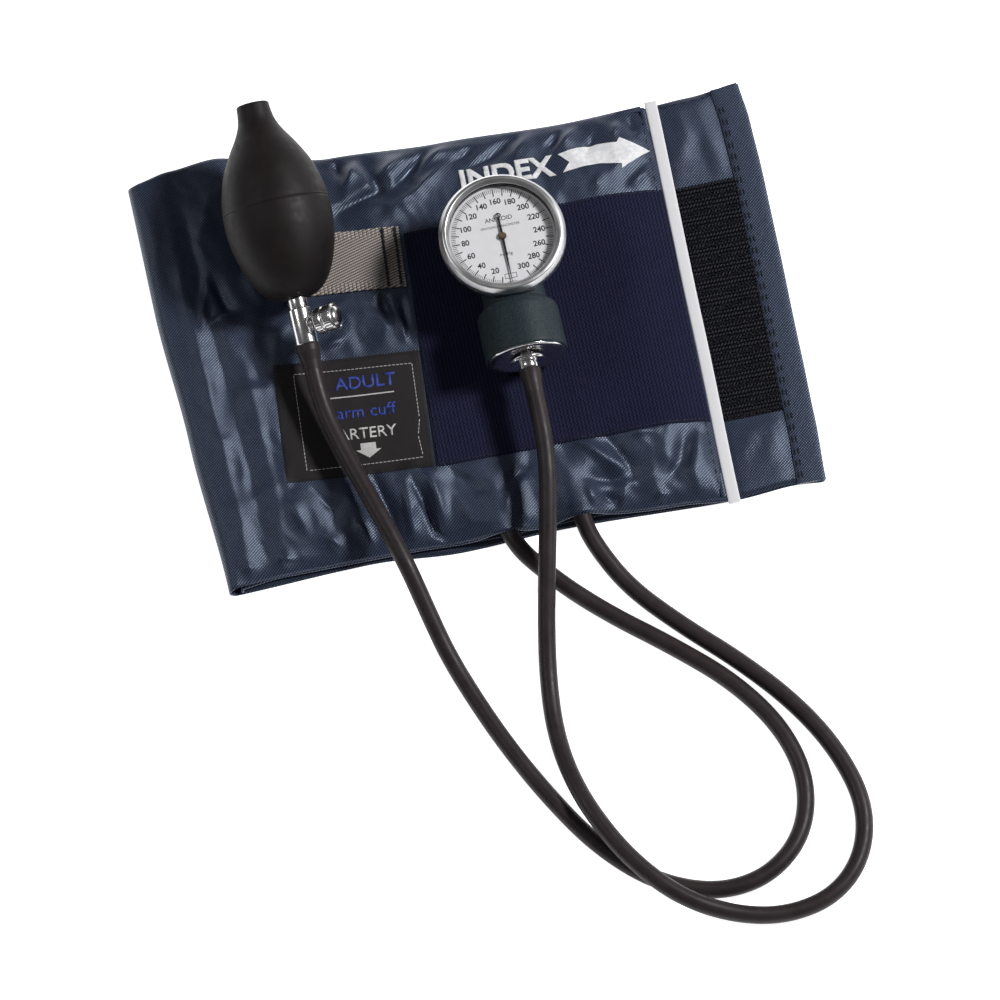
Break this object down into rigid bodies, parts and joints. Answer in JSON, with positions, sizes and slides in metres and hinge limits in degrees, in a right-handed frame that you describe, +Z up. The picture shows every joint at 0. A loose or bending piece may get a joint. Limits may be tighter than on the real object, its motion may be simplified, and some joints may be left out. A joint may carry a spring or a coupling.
{
  "type": "upper arm blood pressure monitor",
  "caption": "Aneroid upper arm blood pressure monitor: folded cloth cuff with a hand bulb, a release valve, a round dial gauge and rubber tubes.",
  "frame": {"origin": "centre of the bottom of the box around the cuff, the bulb and the gauge, without the free tubes; the cuff's underside lies on Z = 0", "axes": "+X along the folded cuff, away from its fold; +Y from the edge where the tubes leave towards the far edge; +Z up, out of the dial"},
  "size_m": [0.243, 0.3613, 0.0565],
  "materials": {
    "cuff_cloth": "satin nylon twill",
    "cuff_lining": "plain nylon",
    "hem_tape": "rolled nylon hem",
    "loop_tape": "brushed loop pile",
    "hook_tape": "nylon hooks",
    "webbing": "woven cotton webbing",
    "index_tape": "white coated edging tape",
    "label_cloth": "woven satin label",
    "black_rubber": "matte moulded rubber",
    "tube_rubber": "smooth extruded rubber",
    "bladder_rubber": "moulded sheet rubber",
    "valve_chrome": "polished plating on brass",
    "bezel_chrome": "polished",
    "case_enamel": "hammered green enamel",
    "dial_paint": "white print enamel with black marks",
    "pointer_paint": "black enamel",
    "brass": "turned",
    "steel": "turned",
    "seal_rubber": "moulded",
    "lens_glass": "clear, flat",
    "bellows_bronze": "thin corrugated sheet",
    "inlet_plastic": "moulded"
  },
  "bodies": {
    "root": {"artery_label": "label_cloth", "bellows": "bellows_bronze", "bladder": "bladder_rubber", "bladder_port_bulb_side": "bladder_rubber", "bladder_port_gauge_side": "bladder_rubber", "bulb": "black_rubber", "bulb_tube": "tube_rubber", "bulb_tube_end": "tube_rubber", "cuff_back_hem": "hem_tape", "cuff_end_hem": "hem_tape", "cuff_front_hem": "hem_tape", "cuff_lining": "cuff_lining", "cuff_outer_cloth": "cuff_cloth", "dial_plate": "dial_paint", "gauge_base": "bezel_chrome", "gauge_bezel": "bezel_chrome", "gauge_case": "case_enamel", "gauge_hook": "steel", "gauge_lens": "lens_glass", "gauge_stem": "bezel_chrome", "gauge_strap": "webbing", "gauge_tube": "tube_rubber", "gauge_tube_end": "tube_rubber", "hairspring": "steel", "hook_panel": "hook_tape", "hook_rivets": "steel", "index_strip": "index_tape", "inlet_valve_housing": "inlet_plastic", "inlet_valve_retainer": "inlet_plastic", "lens_gasket": "seal_rubber", "loop_panel": "loop_tape", "movement_lower_plate": "brass", "movement_pillars": "brass", "movement_upper_plate": "brass", "release_valve_body": "valve_chrome", "stem_washer": "bezel_chrome", "valve_collar_ring": "valve_chrome"},
    "needle_seal": {"needle_seal_ring": "seal_rubber"},
    "knob": {"release_knob": "valve_chrome", "release_needle": "brass"},
    "inlet_ball": {"inlet_valve_ball": "steel"},
    "outlet_ball": {"outlet_valve_ball": "steel"},
    "sector": {"sector_gear": "brass", "sector_arbor": "steel"},
    "pointer": {"pointer": "pointer_paint", "pointer_hub": "brass", "pinion": "brass", "pinion_arbor": "steel"},
    "push_rod": {"push_rod": "steel"}
  },
  "joints": [
    {"name": "needle_travel", "type": "slide", "parent": "root", "child": "needle_seal", "axis": [0.8408, -0.0849, 0.5346], "range_m": [0, 0.001]},
    {"name": "knob_turn", "type": "hinge", "parent": "needle_seal", "child": "knob", "pos_m": [-0.06888, 0.00305, 0.026], "axis": [0.8408, -0.0849, 0.5346], "range_deg": [0, 720]},
    {"name": "inlet_ball_lift", "type": "slide", "parent": "root", "child": "inlet_ball", "axis": [0.0223, -0.9814, -0.1908], "range_m": [0, 0.0018]},
    {"name": "outlet_ball_lift", "type": "slide", "parent": "root", "child": "outlet_ball", "axis": [0.0223, -0.9814, -0.1908], "range_m": [0, 0.0008]},
    {"name": "sector_rock", "type": "hinge", "parent": "root", "child": "sector", "pos_m": [0.0088, 0.00392, 0.0285], "axis": [0, 0, 1], "range_deg": [0, 28.12]},
    {"name": "pointer_turn", "type": "hinge", "parent": "root", "child": "pointer", "pos_m": [0.0138, 0.0189, 0.0285], "axis": [0, 0, -1], "range_deg": [0, 337.5]},
    {"name": "push_rod_rise", "type": "slide", "parent": "root", "child": "push_rod", "axis": [0, 1, 0], "range_m": [0, 0.0025]}
  ],
  "couplings": [
    {"joint": "knob_turn", "follows": "needle_travel", "rad_per_m": 12566},
    {"joint": "sector_rock", "follows": "push_rod_rise", "rad_per_m": 196.08},
    {"joint": "pointer_turn", "follows": "push_rod_rise", "rad_per_m": 2352.9}
  ]
}
